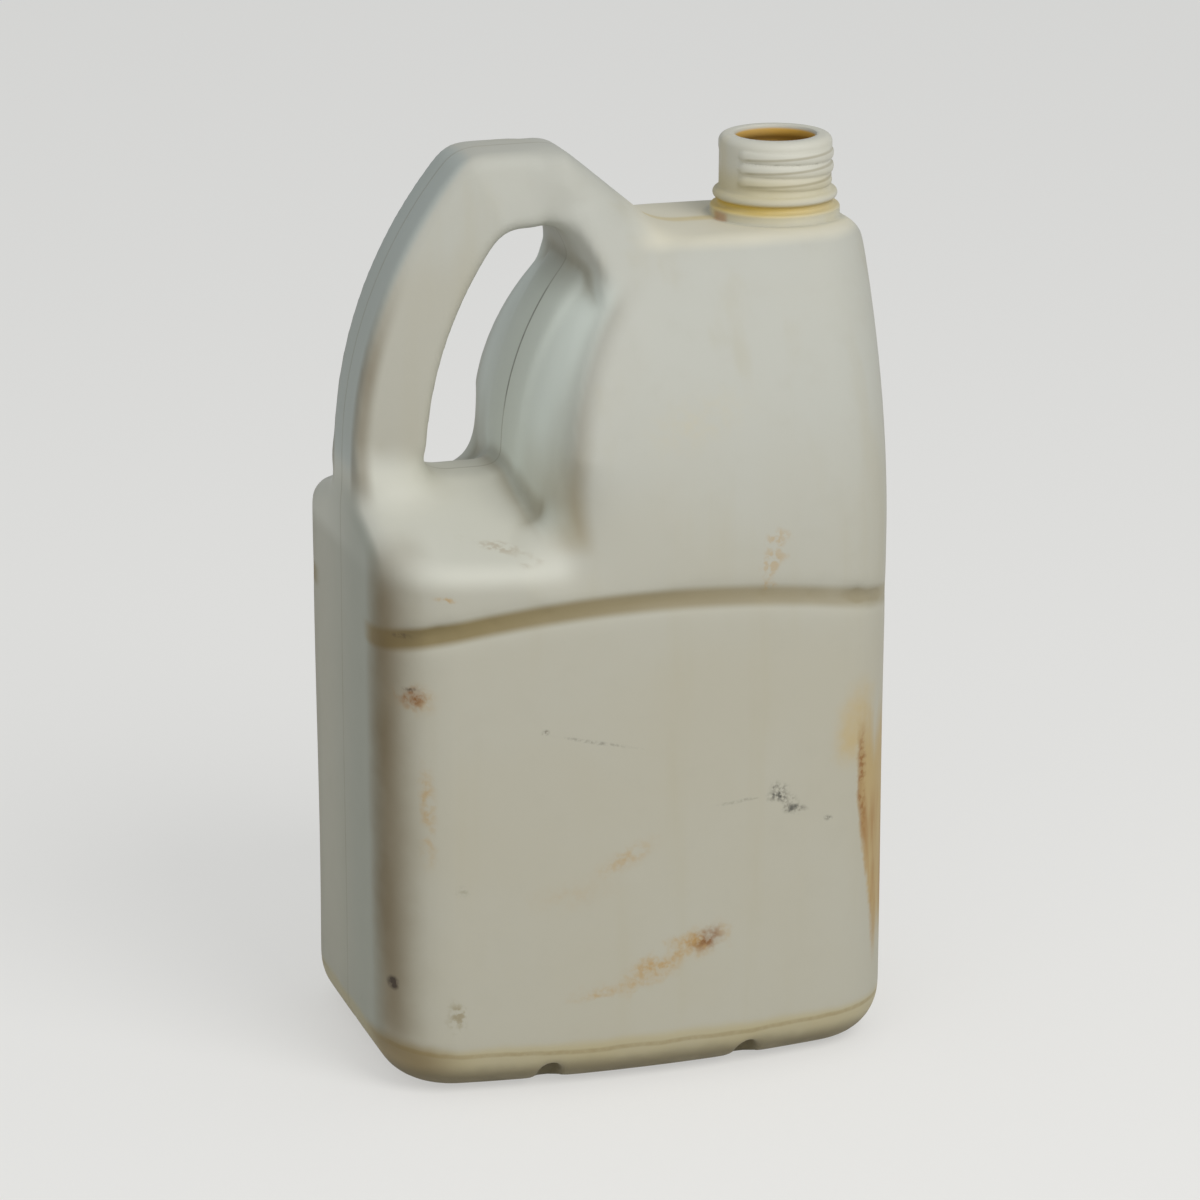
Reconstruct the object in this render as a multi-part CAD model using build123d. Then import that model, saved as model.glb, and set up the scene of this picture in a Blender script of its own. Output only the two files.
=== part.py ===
"""Blow-moulded gallon jug with a hollow through handle and a screw neck, as one thin-walled piece.

Millimetres. +Z is up, +X points from the handle to the neck, and the mould parts on the plane Y = 0.
The origin is on the surface that the jug stands on, under the middle of its body.
"""

import os
from math import asin, atan2, cos, hypot, radians, sin, sqrt, tan

from build123d import *

# Body
body_width = 170.0
body_depth = 126.0
body_height = 266.5
wall = 1.5
side_bow = 8.7
corner_radius = 26.0
corner_depth_share = 0.8
base_round = 17.0
shoulder_height = 96.5
shoulder_depth_share = 0.451
shoulder_levels = 7
top_round = 8.0

# Handle: its outer curve and both sides of the finger slot share one centre
handle_inset = 0.8
handle_rise = 27.5
handle_depth = 38.0
handle_thickness = 24.0
handle_radius = 147.0
handle_spring_drop = 71.5
handle_corner = 13.0
handle_edge = 11.0
slot_overlap = 5.0
slot_corner = 11.0
slot_edge = 9.0
prow_gap = 28.0
prow_nose = 38.0
prow_depth_share = 0.476
prow_length = 12.0
prow_round = 11.0
prow_start = -25.0
prow_turn = 65.0
foot_flare = 20.0
foot_angle = 50.0
foot_start_drop = 68.5

# Leg that brings the handle down onto the shoulder
leg_thickness = 15.4
leg_angle = 40.0
leg_flare_gap = 6.0
leg_flare_length = 22.0
leg_foot_depth_share = 0.46

# Finger pocket: one room through the body, with a roof-shaped floor and a leaning wall
pocket_length = 70.0
pocket_lean = 5.0
pocket_drop = 75.5
pocket_ridge = 18.0
pocket_slope = 19.0
pocket_corner = 16.0
pocket_edge = 8.0
rim_share = 0.45

# Arched groove between the lower panel and the shoulder
groove_drop = 105.5
groove_rise = 9.0
groove_margin = 7.0
groove_radius = 4.0
groove_depth = 2.2

# Standing ring, with a raised panel inside it and dents in its outer edge
ring_width = 13.0
panel_rise = 3.0
panel_corner = 12.0
dent_spacing = 66.0
dent_radius = 3.8
dent_top = 9.0
dent_reach = 14.0
pinch_radius = 2.4
pinch_top = 7.0

# Neck
neck_inset = 25.6
neck_rise = 25.9
thread_root_radius = 17.6
lip_bore_radius = 12.9
lip_height = 3.0
lip_round = 1.6
neck_wall = 2.0
bead_radius = 20.05
bead_rise = 7.1
bead_height = 3.6
waist_radius = 18.6
flange_radius = 20.9
flange_rise = 4.1

overrun = 30.0
on_surface = 0.002

# Places that follow from the sizes above: heights are counted from the shoulder's flat top
shoulder_start = body_height - shoulder_height
handle_top = body_height + handle_rise
handle_spring = body_height - handle_spring_drop
foot_start = body_height - foot_start_drop
pocket_floor = body_height - pocket_drop
groove_middle = body_height - groove_drop
neck_top = body_height + neck_rise
bead_middle = body_height + bead_rise
flange_top = body_height + flange_rise
handle_end = handle_inset - body_width / 2
handle_centre = handle_end + handle_radius
pocket_wall = pocket_length - body_width / 2
slot_right = pocket_wall + slot_overlap
leg_flare_start = slot_right + leg_flare_gap
neck_x = body_width / 2 - neck_inset
groove_reach = body_width / 2 - groove_margin
prow_depth = body_depth * prow_depth_share
leg_foot_depth = body_depth * leg_foot_depth_share
short_rim = body_depth / 2 - side_bow - corner_radius - pocket_ridge / 2
pocket_rim = min(pocket_edge, short_rim * rim_share)
top_rim = min(top_round, pocket_rim)


def corner_at(half_depth):
    """Corner radius of the plan, eased in step with the depth to a smaller one at the top."""
    full = body_depth / 2
    least = full * shoulder_depth_share
    top_corner = min(corner_radius, corner_depth_share * least)
    share = (half_depth - least) / (full - least)
    return top_corner + (corner_radius - top_corner) * share


def plan_outline(half_depth, bow, inset):
    """Plan of the body: a rectangle with bowed long sides and round corners."""
    a = body_width / 2 - inset
    b = half_depth - inset
    near = ThreePointArc((-a, bow - b), (0, -b), (a, bow - b))
    right = Line((a, bow - b), (a, b - bow))
    far = ThreePointArc((a, b - bow), (0, b), (-a, b - bow))
    left = Line((-a, b - bow), (-a, bow - b))
    face = make_face([near, right, far, left])
    return fillet(face.vertices(), corner_at(half_depth) - inset)


def half_depth_at(z):
    """Half depth of the body at a height: upright, then an arc that leans in over the shoulder."""
    full_rise = body_height - shoulder_start
    lean = body_depth / 2 * (1 - shoulder_depth_share)
    radius = (full_rise**2 + lean**2) / (2 * lean)
    rise = max(0.0, z - shoulder_start)
    return body_depth / 2 - radius + sqrt(radius**2 - rise**2)


def body_block(inset):
    """Body without its pocket: the upright lower part and the shoulder that leans in above it."""
    low = inset
    high = body_height - inset
    lower = Pos(0, 0, low) * extrude(plan_outline(body_depth / 2, side_bow, inset), shoulder_start - low)
    lower = fillet(lower.faces().sort_by(Axis.Z)[0].edges(), base_round - inset)
    sections = []
    for level in range(shoulder_levels + 1):
        z = shoulder_start + (high - shoulder_start) * level / shoulder_levels
        half = half_depth_at(z)
        bow = side_bow * half / (body_depth / 2)
        sections.append(Pos(0, 0, z) * plan_outline(half, bow, inset))
    return lower + loft(sections)


def pocket_room(inset):
    """Finger room on both sides of the handle, cut right through the body."""
    ridge = pocket_ridge / 2
    reach = body_depth / 2 + overrun
    floor = pocket_floor - inset
    foot = floor - (reach - ridge) * tan(radians(pocket_slope))
    high = handle_top + overrun
    corners = [(-reach, foot), (-ridge, floor), (ridge, floor), (reach, foot), (reach, high), (-reach, high)]
    profile = Plane.YZ * make_face(Polyline(corners, close=True))
    left = handle_end - overrun
    room = Pos(left, 0, 0) * extrude(profile, overrun - left, dir=(1, 0, 0))
    lean = radians(pocket_lean)
    side = Plane((pocket_wall + inset, 0, pocket_floor), x_dir=(0, 1, 0), z_dir=(cos(lean), 0, -sin(lean)))
    room = split(room, bisect_by=side, keep=Keep.BOTTOM)
    wall_edges = room.faces().sort_by(Axis.X)[-1].edges()
    floor_edges = [edge for edge in wall_edges if edge.center().Z < pocket_floor + pocket_ridge]
    return fillet(floor_edges, pocket_corner + inset)


def shared_edges(solid, first, second):
    """Edges of a solid that lie on the skins of both shapes it was made from."""
    skins = (first.shells()[0], second.shells()[0])
    found = []
    for edge in solid.edges():
        points = [Vertex(*edge.position_at(share)) for share in (0.1, 0.5, 0.9)]
        if all(skin.distance_to(point) < on_surface for skin in skins for point in points):
            found.append(edge)
    return found


def pocketed_body(inset):
    """Body with the pocket cut and its outer edges rounded."""
    block = body_block(inset)
    room = pocket_room(inset)
    body = block - room
    top = body_height - inset - on_surface
    rims = [edge for edge in shared_edges(body, block, room) if edge.center().Z < top]
    body = fillet(rims, pocket_rim - inset)
    return fillet(body.faces().sort_by(Axis.Z)[-1].edges(), top_rim - inset)


def arc_side(radius, top):
    """Arc about the handle's centre, from its spring line up to a height, as its start, middle and end."""
    angle = asin((top - handle_spring) / radius)
    points = []
    for share in (0.0, 0.5, 1.0):
        turn = angle * share
        points.append((handle_centre - radius * cos(turn), handle_spring + radius * sin(turn)))
    return points


def corners_at(face, height):
    return [corner for corner in face.vertices() if abs(corner.Y - height) < on_surface]


def handle_outline(inset):
    """Side view of the handle and its leg, filled in."""
    top = handle_top - inset
    low = handle_spring - 3 * overrun
    curve = arc_side(handle_radius - inset, top)
    slant = radians(leg_angle)
    leg_x = slot_right + (leg_thickness - handle_thickness * cos(slant)) / sin(slant) - inset * tan(slant / 2)
    foot_z = body_height - overrun
    foot_x = leg_x + (top - foot_z) / tan(radians(leg_angle))
    face = make_face(
        [
            ThreePointArc(*curve),
            Polyline(curve[2], (leg_x, top), (foot_x, foot_z), (foot_x, low), (curve[0][0], low), curve[0]),
        ]
    )
    return fillet(corners_at(face, top), handle_corner - inset)


def slot_outline(inset):
    """Side view of the finger slot in the handle: the pocket floor and wall close its open sides."""
    top = handle_top - handle_thickness + inset
    low = handle_spring - 3 * overrun
    right = slot_right + inset
    grip = arc_side(handle_radius - handle_thickness + inset, top)
    face = make_face(
        [
            ThreePointArc(*grip),
            Polyline(grip[2], (right, top), (right, low), (grip[0][0], low), grip[0]),
        ]
    )
    return fillet(corners_at(face, top), slot_corner + inset)


def prow(inset):
    """Back of the finger slot: a blunt wedge along the parting line, bent about the handle's centre."""
    tip = handle_radius - handle_thickness - prow_gap - inset
    half = prow_depth / 2 - inset
    nose = prow_nose / 2 - inset
    root = tip - prow_length
    deep = root - overrun
    upper = [(-tip, nose), (-root, half), (-deep, half)]
    lower = [(x, -y) for x, y in reversed(upper)]
    section = make_face(Polyline(lower + upper, close=True))
    section = fillet(section.vertices().sort_by(Axis.X)[:2], prow_round - inset)
    turned = revolve(section, Axis((0, 0, 0), (0, 1, 0)), revolution_arc=prow_turn)
    return Pos(handle_centre, 0, handle_spring) * Rot(0, prow_start, 0) * turned


def leg_plan(inset):
    """Plan of the handle: parallel sides that flare where the leg meets the shoulder."""
    half = handle_depth / 2 - inset
    foot = leg_foot_depth / 2 - inset
    start = handle_end - overrun
    bend = leg_flare_start
    end = leg_flare_start + leg_flare_length
    far = body_width / 2
    lines = []
    for side in (-1, 1):
        lines.append(Line((start, side * half), (bend, side * half)))
        lines.append(TangentArc((bend, side * half), (end, side * foot), tangent=(1, 0)))
        lines.append(Line((end, side * foot), (far, side * foot)))
    lines.append(Line((start, -half), (start, half)))
    lines.append(Line((far, -foot), (far, foot)))
    return make_face(lines)


def foot_section(inset):
    """End view of the handle's foot: it spreads onto the pocket floor."""
    half = handle_depth / 2 - inset
    radius = foot_flare + inset
    turn = radians(90 - foot_angle)
    out = half + radius * (1 - cos(turn))
    down = foot_start - radius * sin(turn)
    low = handle_spring - 3 * overrun
    lines = []
    for side in (-1, 1):
        lines.append(Line((side * half, handle_top), (side * half, foot_start)))
        lines.append(TangentArc((side * half, foot_start), (side * out, down), tangent=(0, -1)))
        lines.append(Line((side * out, down), (side * out, low)))
    lines.append(Line((-half, handle_top), (half, handle_top)))
    lines.append(Line((-out, low), (out, low)))
    return Plane.YZ * make_face(lines)


def rim_edges(plate, outline):
    """Edges of the plate that follow an outline of its side view."""
    border = outline.wires()
    found = []
    for edge in plate.edges():
        middle = edge.position_at(0.5)
        across = abs(edge.tangent_at(0.5).Y) > 0.9
        spot = Vertex(middle.X, middle.Z, 0)
        if not across and min(wire.distance_to(spot) for wire in border) < on_surface:
            found.append(edge)
    return found


def handle_plate(inset):
    """Handle and leg as one plate with every edge that shows rounded."""
    outline = handle_outline(inset)
    slot = slot_outline(inset)
    ring = extrude(Plane.XZ * (outline - slot), body_depth / 2, both=True)
    left = handle_end - overrun
    slot_middle = handle_end + handle_thickness + prow_gap / 2
    foot = Pos(left, 0, 0) * extrude(foot_section(inset), slot_middle - left, dir=(1, 0, 0))
    plate = ring & (extrude(leg_plan(inset), handle_top + overrun) + foot)
    low = handle_spring - 2 * overrun
    far = slot_right + 2 * overrun
    outer = [e for e in rim_edges(plate, outline) if e.center().X < far and e.center().Z > low]
    plate = fillet(outer, handle_edge - inset)
    return fillet(rim_edges(plate, slot), slot_edge - inset)


def groove_rings(inset):
    """Groove on each long side: a round bar bent to a circle that follows both the arch and the bow."""
    bow_rate = side_bow / (body_width / 2) ** 2
    arch_rate = groove_rise / groove_reach**2
    bend = 1 / (2 * hypot(bow_rate, arch_rate))
    tilt = atan2(arch_rate, bow_rate)
    start = body_depth / 2 + groove_radius - groove_depth
    rings = []
    for side in (-1, 1):
        centre = (0, side * (start - bend * cos(tilt)), groove_middle - bend * sin(tilt))
        plane = Plane(centre, x_dir=(1, 0, 0), z_dir=(0, side * sin(tilt), -cos(tilt)))
        rings.append(plane * Torus(bend, groove_radius + inset))
    return rings


def dent(radius, top, reach, outside, inset):
    """Upright dent in the standing ring's outer edge, at the front, ready to be turned into place."""
    grown = radius + inset
    crown = Pos(0, top - radius) * Circle(grown)
    stem_height = top - radius + overrun
    stem = Pos(0, top - radius - stem_height / 2) * Rectangle(2 * grown, stem_height)
    bar = extrude(Plane.XZ * (crown + stem), overrun + reach + inset, dir=(0, 1, 0))
    return Pos(0, -outside - overrun, 0) * bar


def base_cuts(inset):
    """What is pressed into the base: the raised panel, the dents and the pinched ends of the parting line."""
    margin = 2 * (base_round + ring_width)
    panel_width = body_width - margin + 2 * inset
    panel_depth = body_depth - 2 * side_bow - margin + 2 * inset
    panel = extrude(RectangleRounded(panel_width, panel_depth, panel_corner + inset), panel_rise + inset)
    cuts = [panel]
    front = dent(dent_radius, dent_top, dent_reach, body_depth / 2, inset)
    for x in (-dent_spacing / 2, dent_spacing / 2):
        cuts.append(Pos(x, 0, 0) * front)
        cuts.append(Pos(x, 0, 0) * Rot(0, 0, 180) * front)
    end = dent(pinch_radius, pinch_top, dent_reach, body_width / 2, inset)
    for turn in (90, -90):
        cuts.append(Rot(0, 0, turn) * end)
    return cuts


def jug_form(inset):
    """The whole moulded form without its neck: the outside at no inset, the cavity at one wall's inset."""
    form = pocketed_body(inset) + prow(inset) + handle_plate(inset)
    for cut in groove_rings(inset) + base_cuts(inset):
        form = form - cut
    return form


def neck_outside():
    """Neck turned about its own axis: flange, waist, bead, thread cylinder and rounded lip."""
    low = body_height - 2 * top_round
    half_bead = bead_height / 2
    lip_radius = thread_root_radius - lip_round
    slant = lip_round * sin(radians(45))
    profile = make_face(
        [
            Polyline(
                (0, neck_top), (0, low), (flange_radius, low), (flange_radius, flange_top),
                (waist_radius, flange_top), (waist_radius, bead_middle - half_bead),
            ),
            ThreePointArc(
                (waist_radius, bead_middle - half_bead),
                (bead_radius, bead_middle),
                (thread_root_radius, bead_middle + half_bead),
            ),
            Line((thread_root_radius, bead_middle + half_bead), (thread_root_radius, neck_top - lip_round)),
            ThreePointArc(
                (thread_root_radius, neck_top - lip_round),
                (lip_radius + slant, neck_top - lip_round + slant),
                (lip_radius, neck_top),
            ),
            Line((lip_radius, neck_top), (0, neck_top)),
        ]
    )
    return Pos(neck_x, 0, 0) * revolve(Plane.XZ * profile, Axis.Z)


def neck_inside():
    """Way through the neck: a narrow lip, then a bore that opens into the shoulder."""
    low = body_height - 2 * top_round
    bore = thread_root_radius - neck_wall
    lip_low = neck_top - lip_height
    bore_high = lip_low - (bore - lip_bore_radius)
    profile = make_face(
        Polyline(
            (0, low), (bore, low), (bore, bore_high), (lip_bore_radius, lip_low),
            (lip_bore_radius, neck_top + overrun), (0, neck_top + overrun), close=True,
        )
    )
    return Pos(neck_x, 0, 0) * revolve(Plane.XZ * profile, Axis.Z)


def make_jug():
    outside = jug_form(0.0) + neck_outside()
    cavity = jug_form(wall) + neck_inside()
    return outside - cavity


jug = make_jug()
os.makedirs("parts", exist_ok=True)
export_step(jug, "parts/jug.step")
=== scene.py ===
"""Looks of an aged polyethylene gallon jug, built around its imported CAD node, in metres."""

from math import atan2, cos, degrees, hypot, pi, radians, sin, tan

import bmesh
import bpy
import numpy as np
from mathutils import Matrix, Vector, kdtree


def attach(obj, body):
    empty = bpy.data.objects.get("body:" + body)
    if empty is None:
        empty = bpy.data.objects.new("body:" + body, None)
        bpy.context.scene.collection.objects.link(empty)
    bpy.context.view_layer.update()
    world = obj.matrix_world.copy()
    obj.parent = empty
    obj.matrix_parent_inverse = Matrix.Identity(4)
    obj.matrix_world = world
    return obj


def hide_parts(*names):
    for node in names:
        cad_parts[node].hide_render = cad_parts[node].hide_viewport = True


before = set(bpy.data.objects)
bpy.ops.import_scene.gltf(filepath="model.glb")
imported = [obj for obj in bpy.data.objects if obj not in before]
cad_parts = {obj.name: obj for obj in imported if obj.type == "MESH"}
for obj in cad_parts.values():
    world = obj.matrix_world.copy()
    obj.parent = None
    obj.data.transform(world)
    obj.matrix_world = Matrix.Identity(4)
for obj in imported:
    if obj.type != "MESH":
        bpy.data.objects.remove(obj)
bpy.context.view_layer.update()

MM = 0.001

# Neck, as in the part's source
NECK_X = 59.4 * MM
NECK_TOP = 292.4 * MM
LIP_BORE = 12.9 * MM
LIP_HEIGHT = 3.0 * MM
FLANGE_RADIUS = 20.9 * MM
SHOULDER_TOP = 266.5 * MM
THREAD_ROOT = 17.9 * MM
THREAD_PITCH = 4.25 * MM
THREAD_TURNS = 2.7
THREAD_START = 277.6 * MM
THREAD_RIDGE = 0.95 * MM
THREAD_BREADTH = 2.0
THREAD_SINK = 0.2 * MM
NECK_STEPS = 112
LIP_SLACK = 0.05 * MM
# Rise and growth of the cutter's rings above the lip's lower edge
MOUTH_RINGS = ((0.72 * LIP_HEIGHT, 0.0), (0.22 * LIP_HEIGHT, 0.3 * MM), (LIP_HEIGHT, 2.4 * MM))

# Skin of the body
SKIN_STEP = 1.7 * MM
SOFTENING = 60
PANEL_WAVE = 0.4 * MM
WELD = 0.002 * MM
HOLLOW_REACH = 1.2 * MM
SHARP_ANGLE = 50

# Arched groove and the body's upright corners, in millimetres as in the part's source
GROOVE_MIDDLE = 161.0
GROOVE_RISE = 9.0
GROOVE_REACH = 78.0
GROOVE_DEPTH = 2.2
GROOVE_END = 84.0
GROOVE_CUTS = range(138, 166, 2)
CORNER_START = 58.5
CORNER_RADIUS = 26.0

# Shoulder, handle and finger slot, in millimetres as in the part's source
BODY_WIDTH = 170.0
BODY_DEPTH = 126.0
SIDE_BOW = 8.7
SHOULDER_START = 170.0
SHOULDER_HEIGHT = 96.5
SHOULDER_DEPTH_SHARE = 0.451
HANDLE_CENTRE = (62.8, 195.0)
HANDLE_TOP = 294.0
HANDLE_DEPTH = 38.0
SLOT_BACK = 95.0
WEB_CORNER = 8.0
WEB_CROWN = 6.0
WEB_REACH = 14
WEB_LEVELS = range(166, 262, 3)
GRIP_OUTSIDE = 147.0
GRIP_THICKNESS = 24.0
GRIP_CORNER = 13.0
GRIP_EDGE = 4.5
GRIP_TAPER = 0.28
GRIP_TAPER_LENGTH = 22.0
SLOT_CORNER = 11.0
LEG_BEND = -14.6
LEG_ANGLE = 40.0
LEG_PLACES = range(-38, 16, 2)
LEG_UNDERSIDE_X = (-40, -24, -18, -14, -11, -9, -5)
LEG_UNDERSIDE_Z = (271.5, 271, 270, 267.5, 262, 256, 246)
LEG_SPREAD = (-26, -7)
LEG_LEAST_HALF = 17
LEG_SQUARENESS = 0.45
LEG_POINTS = 48
GRIP_ROOT = 12
GRIP_TOP_END = -24
GRIP_START = -2
SLOT_START = 3

# How far the fuller forms stay below the faces that they merge with
FRONT_SINK = 0.25
LEG_TOP_SINK = 0.3
LEG_SIDE_SINK = 0.5
GRIP_SINK = 0.2

# Photograph's camera and the light
CAMERA_TURN = 17.5
CAMERA_TILT = 17.03
CAMERA_DISTANCE = 1590 * MM
CAMERA_LENS = 143.9
CAMERA_SENSOR = 36
TARGET_ACROSS = 1.0 * MM
TARGET_UP = 136.5 * MM
SKY_COLOUR = (0.9, 0.95, 1.0, 1.0)
SKY_STRENGTH = 0.48
FLOOR_GLOW = 0.55
FLOOR_SIZE = 6.0
LAMP_TARGET = (0, 0, 0.15)

# Colours of the plastic, as they look on screen; some hold painted light or painted shade
CHALK_BELOW = (178, 173, 155)
# upper tone, partly painted light
CHALK_ABOVE_LIT = (182, 181, 170)
STREAK = (172, 163, 134)
MOTTLE = (168, 163, 146)
POCKET_FLOOR_LIT = (202, 200, 186)
SLOT_WALL_LIT = (222, 228, 218)
GRIP_SIDE = (176, 171, 154)
GRIP_BACK_SHADE = (164, 172, 167)
BODY_END_SHADE = (146, 149, 136)
NECK_PALE = (212, 208, 192)
SHOULDER_CREAM_LIT = (216, 209, 186)

# Colours of dirt; some also hold painted shade
CREASE_DIRT_AND_SHADE = (134, 122, 88)
DEEP_CREASE_SHADE = (96, 90, 68)
GROOVE_DIRT_AND_SHADE = (132, 117, 78)
BASE = (178, 160, 102)
BASE_CORNER = (116, 93, 44)
UNDERSIDE_SHADE = (96, 86, 58)
BASE_LINE = (130, 108, 56)
BASE_LINE_HEIGHT = 13.2
UPRIGHT_EDGE = (102, 83, 44)
SLOT_RIM_DIRT_AND_SHADE = (122, 106, 70)
SLOT_FOOT_SHADE_AND_DIRT = (144, 126, 84)
GRIP_DIRT = (108, 92, 62)
SEAM = (128, 120, 96)
SPLIT = (84, 80, 66)
THREAD_DIRT_AND_SHADE = (128, 116, 80)
SOOT = (70, 68, 60)
BROWN = (58, 44, 26)
MOSS = (132, 116, 74)
GREY_SPOT = (124, 118, 92)
FLOOR_SCUFF = (148, 124, 84)
FLOOR_STAIN = (140, 118, 84)

# Colours of rust and old residue; the mouth's amber also holds painted light
SHOULDER_LINE = (196, 176, 116)
NECK_STAIN = (190, 174, 124)
NECK_WAIST = (196, 168, 80)
FLANGE = (210, 199, 160)
ABOVE_BEAD = (186, 174, 130)
FLANGE_RUST = (168, 112, 52)
MOUTH_AMBER_LIT = (220, 172, 72)
RUST = (122, 75, 26)
OCHRE = (174, 134, 62)
PALE_STAIN = (196, 178, 128)
RUST_BLOOM = (186, 156, 88)
RUST_WATER = (176, 144, 76)
DENSE_RUST = (134, 88, 34)
RUST_STREAK = (150, 106, 48)


def make_object(name, mesh):
    made = bpy.data.objects.new(name, mesh)
    bpy.context.scene.collection.objects.link(made)
    return made


def mesh_from(work, name):
    mesh = bpy.data.meshes.new(name)
    work.to_mesh(mesh)
    work.free()
    return mesh


def neck_distance(point):
    return hypot(point.x - NECK_X, point.y)


def boundary_edges(work):
    return [edge for edge in work.edges if edge.is_boundary]


def linked_to(start):
    """Every vertex that is joined to the start by edges."""
    seen = {start}
    queue = [start]
    while queue:
        vertex = queue.pop()
        for edge in vertex.link_edges:
            other = edge.other_vert(vertex)
            if other not in seen:
                seen.add(other)
                queue.append(other)
    return seen


def cad_skin(outside):
    """One skin of the CAD jug, cut apart at the lip's bore: the outside, or the wall of the cavity."""
    work = bmesh.new()
    work.from_mesh(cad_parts["jug"].data)
    bmesh.ops.remove_doubles(work, verts=work.verts, dist=WELD)
    lip_low = NECK_TOP - LIP_HEIGHT - LIP_SLACK

    def in_lip_bore(face):
        near = all(abs(neck_distance(v.co) - LIP_BORE) < LIP_SLACK for v in face.verts)
        return near and all(v.co.z > lip_low for v in face.verts)

    bmesh.ops.delete(work, geom=[f for f in work.faces if in_lip_bore(f)], context="FACES")
    lowest = min(work.verts, key=lambda v: v.co.z)
    outer = linked_to(lowest)
    unwanted = [v for v in work.verts if (v in outer) != outside]
    bmesh.ops.delete(work, geom=unwanted, context="VERTS")
    return work


def front_depth(x, z):
    """Half depth of the body at a place: bowed in plan and leaning in over the shoulder."""
    lean = BODY_DEPTH / 2 * (1 - SHOULDER_DEPTH_SHARE)
    radius = (SHOULDER_HEIGHT**2 + lean**2) / (2 * lean)
    rise = np.clip(z - SHOULDER_START, 0, None)
    half = BODY_DEPTH / 2 - radius + np.sqrt(radius**2 - rise**2)
    return half - SIDE_BOW * (2 * x / BODY_WIDTH) ** 2 * half / (BODY_DEPTH / 2)


def lofted(work, rings):
    """Closed skin through rings of points, in millimetres, added to a mesh."""
    rows = [[work.verts.new(Vector(point) * MM) for point in ring] for ring in rings]
    for low, high in zip(rows, rows[1:]):
        for index in range(len(low)):
            after = (index + 1) % len(low)
            work.faces.new((low[index], low[after], high[after], high[index]))
    work.faces.new(rows[0])
    work.faces.new(rows[-1])


def web_ring(z):
    """Plan of the wall behind the slot: it follows the handle's curve and rounds into the front."""
    left = HANDLE_CENTRE[0] - (SLOT_BACK**2 - (z - HANDLE_CENTRE[1]) ** 2) ** 0.5
    corner = left + WEB_CROWN + WEB_CORNER
    side = [(x, front_depth(x, z) - FRONT_SINK) for x in np.linspace(WEB_REACH, corner, 8)]
    edge = side[-1][1] - WEB_CORNER
    side += arc_points((corner, edge), WEB_CORNER, 90, 180, 8)[1:]
    side += [(left + WEB_CROWN * share**2, edge * share) for share in (0.8, 0.6, 0.4, 0.2)]
    near = [(x, -y, z) for x, y in side]
    far = [(x, y, z) for x, y in reversed(side)]
    return near + far


def leg_ring(x):
    """Section across the handle's leg: it spreads until it lies flush with the front of the shoulder."""
    top = HANDLE_TOP - LEG_TOP_SINK - max(0, x - LEG_BEND) * tan(radians(LEG_ANGLE))
    low = np.interp(x, LEG_UNDERSIDE_X, LEG_UNDERSIDE_Z)
    spread = smooth_step(*LEG_SPREAD, x)
    narrow = HANDLE_DEPTH / 2 - LEG_SIDE_SINK
    ring = []
    for step in range(LEG_POINTS):
        angle = 2 * pi * step / LEG_POINTS
        across = np.sign(cos(angle)) * abs(cos(angle)) ** LEG_SQUARENESS
        up = np.sign(sin(angle)) * abs(sin(angle)) ** LEG_SQUARENESS
        z = (top + low) / 2 + up * (top - low) / 2
        flush = max(front_depth(x, z) - FRONT_SINK, LEG_LEAST_HALF)
        ring.append((x, (narrow + (flush - narrow) * spread) * across, z))
    return ring


def grip_path(radius, top, corner, start):
    """Side view of one face of the grip: an arc about the handle's centre, a corner and a flat top."""
    x, z = HANDLE_CENTRE
    corner_z = top - corner
    corner_x = x - ((radius - corner) ** 2 - (corner_z - z) ** 2) ** 0.5
    meet = degrees(atan2(corner_z - z, x - corner_x))
    path = []
    for angle in np.linspace(start, meet, 24):
        turn = radians(angle)
        path.append((x - radius * cos(turn), z + radius * sin(turn), angle))
    for angle in np.linspace(meet, 90, 8)[1:]:
        turn = radians(angle)
        path.append((corner_x - corner * cos(turn), corner_z + corner * sin(turn), angle))
    path += [(along, top, 90) for along in np.linspace(corner_x, GRIP_TOP_END, 6)[1:]]
    return path


def grip_ring(x, z, angle, side):
    """Section through one face of the grip with its two edges. side is 1 outside and -1 in the slot."""
    half = HANDLE_DEPTH / 2 - GRIP_SINK
    near, far = GRIP_EDGE - half, half - GRIP_EDGE
    section = [(-half, GRIP_ROOT)] + arc_points((near, GRIP_EDGE), GRIP_EDGE, 180, 270, 5)
    section += arc_points((far, GRIP_EDGE), GRIP_EDGE, 270, 360, 5) + [(half, GRIP_ROOT)]
    c, s = side * cos(radians(angle)), side * sin(radians(angle))
    return [(x + (depth + GRIP_SINK) * c, y, z - (depth + GRIP_SINK) * s) for y, depth in section]


def add_fuller_forms(work):
    """Slot's back wall, leg and grip in full, to be merged with the body by its remesh."""
    lofted(work, [web_ring(z) for z in WEB_LEVELS])
    lofted(work, [leg_ring(x) for x in LEG_PLACES])
    outside = grip_path(GRIP_OUTSIDE, HANDLE_TOP, GRIP_CORNER, GRIP_START)
    lofted(work, [grip_ring(*place, 1) for place in outside])
    slot_radius = GRIP_OUTSIDE - GRIP_THICKNESS
    inside = grip_path(slot_radius, HANDLE_TOP - GRIP_THICKNESS, SLOT_CORNER, SLOT_START)
    lofted(work, [grip_ring(*place, -1) for place in inside])


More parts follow.
